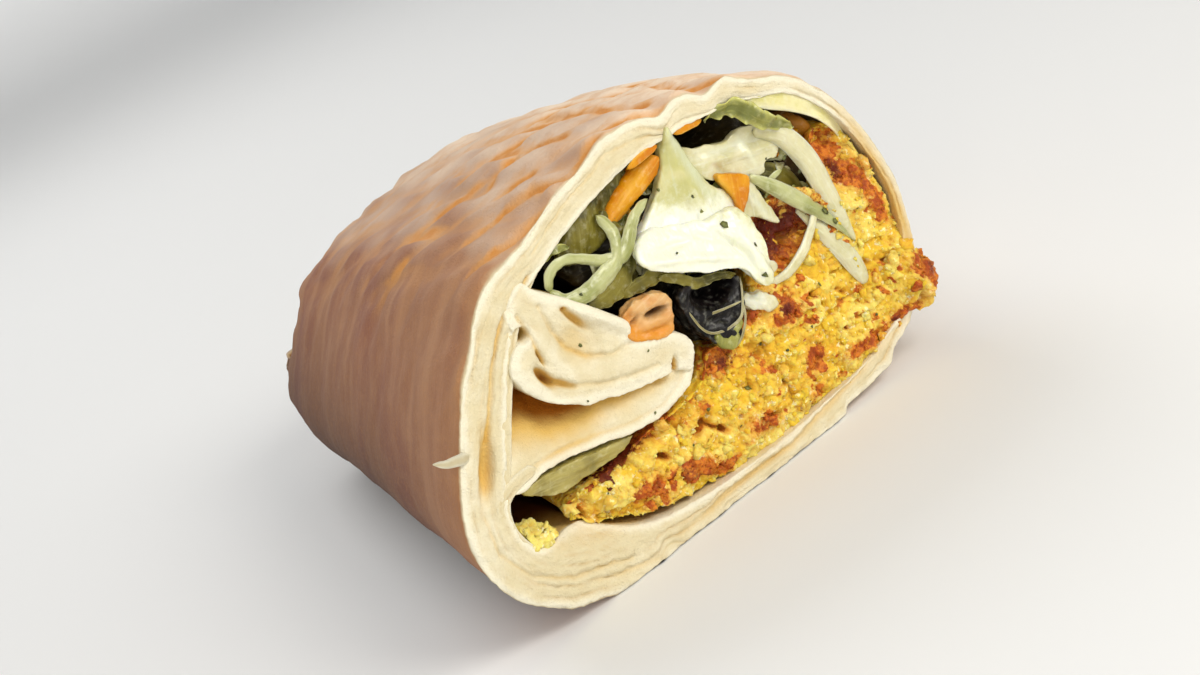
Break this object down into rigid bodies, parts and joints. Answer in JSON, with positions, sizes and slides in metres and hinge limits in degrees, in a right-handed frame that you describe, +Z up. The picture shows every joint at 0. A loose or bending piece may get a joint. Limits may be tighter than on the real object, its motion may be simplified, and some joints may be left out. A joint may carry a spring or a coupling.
{
  "type": "falafel wrap half",
  "caption": "Half of a grilled wrap cut on the slant: rolled flatbread around crushed falafel and shredded salad, with a folded inner tongue and a tucked far end.",
  "frame": {"origin": "under the middle of the wrap, on the surface that its flat underside rests on", "axes": "+Z up, +Y from the cut face towards the tucked end, +X towards the side where the falafel turns up"},
  "size_m": [0.084, 0.1184, 0.0535],
  "materials": {
    "tortilla": "matte, cream where cut, toasted tan outside with brown grill marks",
    "falafel": "matte, rough yellow crumb with red-brown fried crust",
    "salad": "moist, pale green shreds",
    "cabbage_slice": "moist, greenish white",
    "cabbage_ribbon": "moist, greenish white",
    "dark_leaf": "moist, almost black purple and green",
    "carrot_upper": "moist, orange",
    "carrot_middle": "moist, orange",
    "carrot_lower": "moist, orange",
    "lettuce_top": "moist, green edge on pale yellow-green",
    "lettuce_left": "moist, olive and light green",
    "lettuce_under": "moist, pale yellow-green",
    "falafel_crumb": "matte, yellow crumb"
  },
  "bodies": {
    "root": {"tortilla": "tortilla", "falafel": "falafel", "salad": "salad", "cabbage_slice": "cabbage_slice", "cabbage_ribbon": "cabbage_ribbon", "dark_leaf": "dark_leaf", "carrot_upper": "carrot_upper", "carrot_middle": "carrot_middle", "carrot_lower": "carrot_lower", "lettuce_top": "lettuce_top", "lettuce_left": "lettuce_left", "lettuce_under": "lettuce_under", "falafel_crumb": "falafel_crumb"}
  },
  "joints": []
}
